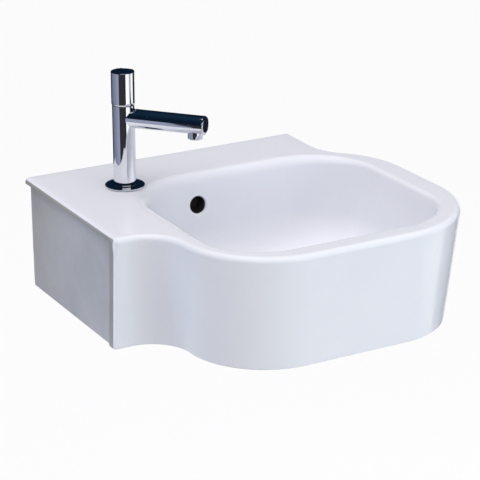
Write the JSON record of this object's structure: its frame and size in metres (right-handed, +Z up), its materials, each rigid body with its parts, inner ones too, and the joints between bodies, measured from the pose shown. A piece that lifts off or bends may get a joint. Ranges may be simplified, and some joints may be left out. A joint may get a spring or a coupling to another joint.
{
  "type": "wall hung basin",
  "caption": "Compact wall hung basin with a flat side shelf, a rounded bowl with an overflow, a slim pillar tap with a turning handle and a push plug waste.",
  "frame": {"origin": "midway between the two wall bolts, on the plane of the wall", "axes": "+Y into the wall along the bolts, +X to the right of a person at the basin, +Z up"},
  "size_m": [0.4265, 0.4709, 0.3386],
  "materials": {
    "black_rubber": "matt",
    "chrome": "polished",
    "grey_plastic": "moulded",
    "grey_rubber": "matt",
    "raw_brass": "machined",
    "spring_steel": "drawn wire",
    "valve_ceramic": "lapped",
    "white_glaze": "glossy white glaze",
    "white_nylon": "moulded",
    "zinc_steel": "zinc plated"
  },
  "bodies": {
    "basin": {"basin_body": "white_glaze", "hanger_bolts": "zinc_steel", "wall_bushes": "white_nylon", "wall_washers": "zinc_steel", "wall_nuts": "zinc_steel", "tap_gasket": "black_rubber", "tap_flange": "chrome", "tap_body": "chrome", "tap_shank": "raw_brass", "shank_rubber_washer": "black_rubber", "shank_metal_washer": "zinc_steel", "shank_backnut": "raw_brass", "tap_spout": "chrome", "aerator_housing": "chrome", "aerator_insert": "grey_plastic", "aerator_seal": "black_rubber", "valve_seat_seal": "grey_rubber", "valve_housing": "grey_plastic", "valve_o_ring": "black_rubber", "valve_fixed_disc": "valve_ceramic", "bonnet_nut": "raw_brass", "waste_body": "chrome", "waste_top_seal": "black_rubber", "waste_under_seal": "black_rubber", "waste_under_washer": "white_nylon", "waste_backnut": "raw_brass", "waste_tailpiece": "chrome", "plug_guide": "white_nylon", "plug_spring": "spring_steel"},
    "handle": {"tap_handle": "chrome", "handle_screw": "zinc_steel", "valve_spindle": "raw_brass", "valve_moving_disc": "valve_ceramic"},
    "plug": {"plug_cap": "chrome", "plug_seal": "black_rubber", "plug_stem": "raw_brass"}
  },
  "joints": [
    {"name": "handle_turn", "type": "hinge", "parent": "basin", "child": "handle", "pos_m": [-0.0943, -0.0914, 0.18], "axis": [0, 0, 1], "range_deg": [0, 90]},
    {"name": "plug_lift", "type": "slide", "parent": "basin", "child": "plug", "axis": [0, 0, 1], "range_m": [0, 0.007], "deforming": ["plug_spring"]}
  ]
}
